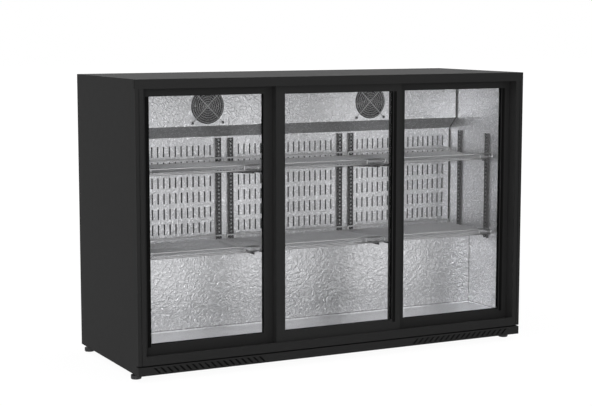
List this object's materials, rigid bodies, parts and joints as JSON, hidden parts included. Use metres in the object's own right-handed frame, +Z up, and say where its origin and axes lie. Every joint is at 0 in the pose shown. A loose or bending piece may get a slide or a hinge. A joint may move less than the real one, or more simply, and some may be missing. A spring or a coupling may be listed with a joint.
{
  "type": "under counter fridge",
  "caption": "Under counter bottle fridge with sliding glass doors, an aluminium interior and wire shelves.",
  "frame": {"origin": "on the floor under the middle of the cabinet", "axes": "+Z up, -Y to the front where the doors are, +X to the right as seen from the front"},
  "size_m": [1.35, 0.511, 0.889],
  "materials": {
    "black_powder_coat": "black powder coat, semi-matt",
    "stucco_aluminium": "embossed stucco aluminium",
    "chromed_wire": "bright plated wire",
    "black_rubber": "black glazing gasket",
    "door_glass": "clear double glazing",
    "black_plastic": "black moulded plastic",
    "white_nylon": "white nylon",
    "galvanised_steel": "galvanised sheet",
    "dark_painted_strip": "dark grey painted strip",
    "finned_coil": "fin block",
    "copper_tube": "copper tube",
    "compressor_paint": "black gloss paint",
    "grey_plastic": "grey moulded plastic",
    "foam": "rigid foam"
  },
  "bodies": {
    "cabinet": {"back_liner": "stucco_aluminium", "back_panel": "galvanised_steel", "base_pan": "galvanised_steel", "bottom_track": "black_powder_coat", "ceiling_liner": "stucco_aluminium", "compressor": "compressor_paint", "condenser_coil": "finned_coil", "condenser_shroud": "galvanised_steel", "controller_box": "grey_plastic", "duct_panel": "stucco_aluminium", "evaporator_coil": "finned_coil", "evaporator_cover": "stucco_aluminium", "fan_guards": "chromed_wire", "fan_motors": "galvanised_steel", "floor_liner": "stucco_aluminium", "front_bottom_rail": "black_powder_coat", "front_top_rail": "black_powder_coat", "insulation_foam": "foam", "kick_panel": "black_powder_coat", "left_jamb": "black_powder_coat", "left_liner": "stucco_aluminium", "left_side_panel": "black_powder_coat", "mains_inlet": "black_plastic", "rear_grille": "galvanised_steel", "refrigerant_pipes": "copper_tube", "right_jamb": "black_powder_coat", "right_liner": "stucco_aluminium", "right_side_panel": "black_powder_coat", "shelf_pilasters": "dark_painted_strip", "shelf_supports": "dark_painted_strip", "top_panel": "black_powder_coat", "top_track": "black_powder_coat"},
    "left_door": {"left_door_frame": "black_powder_coat", "left_door_glass": "door_glass", "left_door_gasket": "black_rubber"},
    "left_door_left_roller": {"left_door_left_roller": "white_nylon"},
    "left_door_right_roller": {"left_door_right_roller": "white_nylon"},
    "middle_door": {"middle_door_frame": "black_powder_coat", "middle_door_glass": "door_glass", "middle_door_gasket": "black_rubber"},
    "middle_door_left_roller": {"middle_door_left_roller": "white_nylon"},
    "middle_door_right_roller": {"middle_door_right_roller": "white_nylon"},
    "right_door": {"right_door_frame": "black_powder_coat", "right_door_glass": "door_glass", "right_door_gasket": "black_rubber"},
    "right_door_left_roller": {"right_door_left_roller": "white_nylon"},
    "right_door_right_roller": {"right_door_right_roller": "white_nylon"},
    "condenser_fan": {"condenser_fan": "black_plastic"},
    "front_left_foot": {"front_left_foot": "black_plastic"},
    "front_right_foot": {"front_right_foot": "black_plastic"},
    "left_evaporator_fan": {"left_evaporator_fan": "black_plastic"},
    "lower_left_shelf": {"lower_left_shelf": "chromed_wire"},
    "lower_middle_shelf": {"lower_middle_shelf": "chromed_wire"},
    "lower_right_shelf": {"lower_right_shelf": "chromed_wire"},
    "rear_left_foot": {"rear_left_foot": "black_plastic"},
    "rear_right_foot": {"rear_right_foot": "black_plastic"},
    "right_evaporator_fan": {"right_evaporator_fan": "black_plastic"},
    "upper_left_shelf": {"upper_left_shelf": "chromed_wire"},
    "upper_middle_shelf": {"upper_middle_shelf": "chromed_wire"},
    "upper_right_shelf": {"upper_right_shelf": "chromed_wire"}
  },
  "joints": [
    {"name": "left_door_slide", "type": "slide", "parent": "cabinet", "child": "left_door", "axis": [1, 0, 0], "range_m": [0, 0.398]},
    {"name": "middle_door_slide", "type": "slide", "parent": "cabinet", "child": "middle_door", "axis": [1, 0, 0], "range_m": [-0.425, 0.425]},
    {"name": "right_door_slide", "type": "slide", "parent": "cabinet", "child": "right_door", "axis": [1, 0, 0], "range_m": [-0.398, 0]},
    {"name": "left_door_left_roller_spin", "type": "hinge", "parent": "left_door", "child": "left_door_left_roller", "pos_m": [-0.5885, -0.2055, 0.0663], "axis": [0, 1, 0], "range_deg": [0, 2540]},
    {"name": "left_door_right_roller_spin", "type": "hinge", "parent": "left_door", "child": "left_door_right_roller", "pos_m": [-0.264, -0.2055, 0.0663], "axis": [0, 1, 0], "range_deg": [0, 2540]},
    {"name": "middle_door_left_roller_spin", "type": "hinge", "parent": "middle_door", "child": "middle_door_left_roller", "pos_m": [-0.16, -0.2335, 0.0663], "axis": [0, 1, 0], "range_deg": [-2710, 2710]},
    {"name": "middle_door_right_roller_spin", "type": "hinge", "parent": "middle_door", "child": "middle_door_right_roller", "pos_m": [0.16, -0.2335, 0.0663], "axis": [0, 1, 0], "range_deg": [-2710, 2710]},
    {"name": "right_door_left_roller_spin", "type": "hinge", "parent": "right_door", "child": "right_door_left_roller", "pos_m": [0.264, -0.2055, 0.0663], "axis": [0, 1, 0], "range_deg": [-2540, 0]},
    {"name": "right_door_right_roller_spin", "type": "hinge", "parent": "right_door", "child": "right_door_right_roller", "pos_m": [0.5885, -0.2055, 0.0663], "axis": [0, 1, 0], "range_deg": [-2540, 0]},
    {"name": "lower_left_shelf_lift", "type": "slide", "parent": "cabinet", "child": "lower_left_shelf", "axis": [0, 0, 1], "range_m": [0, 0.02]},
    {"name": "lower_middle_shelf_lift", "type": "slide", "parent": "cabinet", "child": "lower_middle_shelf", "axis": [0, 0, 1], "range_m": [0, 0.02]},
    {"name": "lower_right_shelf_lift", "type": "slide", "parent": "cabinet", "child": "lower_right_shelf", "axis": [0, 0, 1], "range_m": [0, 0.02]},
    {"name": "upper_left_shelf_lift", "type": "slide", "parent": "cabinet", "child": "upper_left_shelf", "axis": [0, 0, 1], "range_m": [0, 0.02]},
    {"name": "upper_middle_shelf_lift", "type": "slide", "parent": "cabinet", "child": "upper_middle_shelf", "axis": [0, 0, 1], "range_m": [0, 0.02]},
    {"name": "upper_right_shelf_lift", "type": "slide", "parent": "cabinet", "child": "upper_right_shelf", "axis": [0, 0, 1], "range_m": [0, 0.02]},
    {"name": "front_left_foot_screw", "type": "slide", "parent": "cabinet", "child": "front_left_foot", "axis": [0, 0, -1], "range_m": [0, 0.015]},
    {"name": "front_right_foot_screw", "type": "slide", "parent": "cabinet", "child": "front_right_foot", "axis": [0, 0, -1], "range_m": [0, 0.015]},
    {"name": "rear_left_foot_screw", "type": "slide", "parent": "cabinet", "child": "rear_left_foot", "axis": [0, 0, -1], "range_m": [0, 0.015]},
    {"name": "rear_right_foot_screw", "type": "slide", "parent": "cabinet", "child": "rear_right_foot", "axis": [0, 0, -1], "range_m": [0, 0.015]},
    {"name": "left_evaporator_fan_spin", "type": "hinge", "parent": "cabinet", "child": "left_evaporator_fan", "pos_m": [-0.298, 0.0977, 0.786], "axis": [0, 1, 0], "continuous": true},
    {"name": "right_evaporator_fan_spin", "type": "hinge", "parent": "cabinet", "child": "right_evaporator_fan", "pos_m": [0.298, 0.0977, 0.786], "axis": [0, 1, 0], "continuous": true},
    {"name": "condenser_fan_spin", "type": "hinge", "parent": "cabinet", "child": "condenser_fan", "pos_m": [0.08, 0.1587, 0.1272], "axis": [0, 1, 0], "continuous": true}
  ],
  "couplings": [
    {"joint": "left_door_left_roller_spin", "follows": "left_door_slide", "rad_per_m": 111.11},
    {"joint": "left_door_right_roller_spin", "follows": "left_door_slide", "rad_per_m": 111.11},
    {"joint": "middle_door_left_roller_spin", "follows": "middle_door_slide", "rad_per_m": 111.11},
    {"joint": "middle_door_right_roller_spin", "follows": "middle_door_slide", "rad_per_m": 111.11},
    {"joint": "right_door_left_roller_spin", "follows": "right_door_slide", "rad_per_m": 111.11},
    {"joint": "right_door_right_roller_spin", "follows": "right_door_slide", "rad_per_m": 111.11}
  ]
}
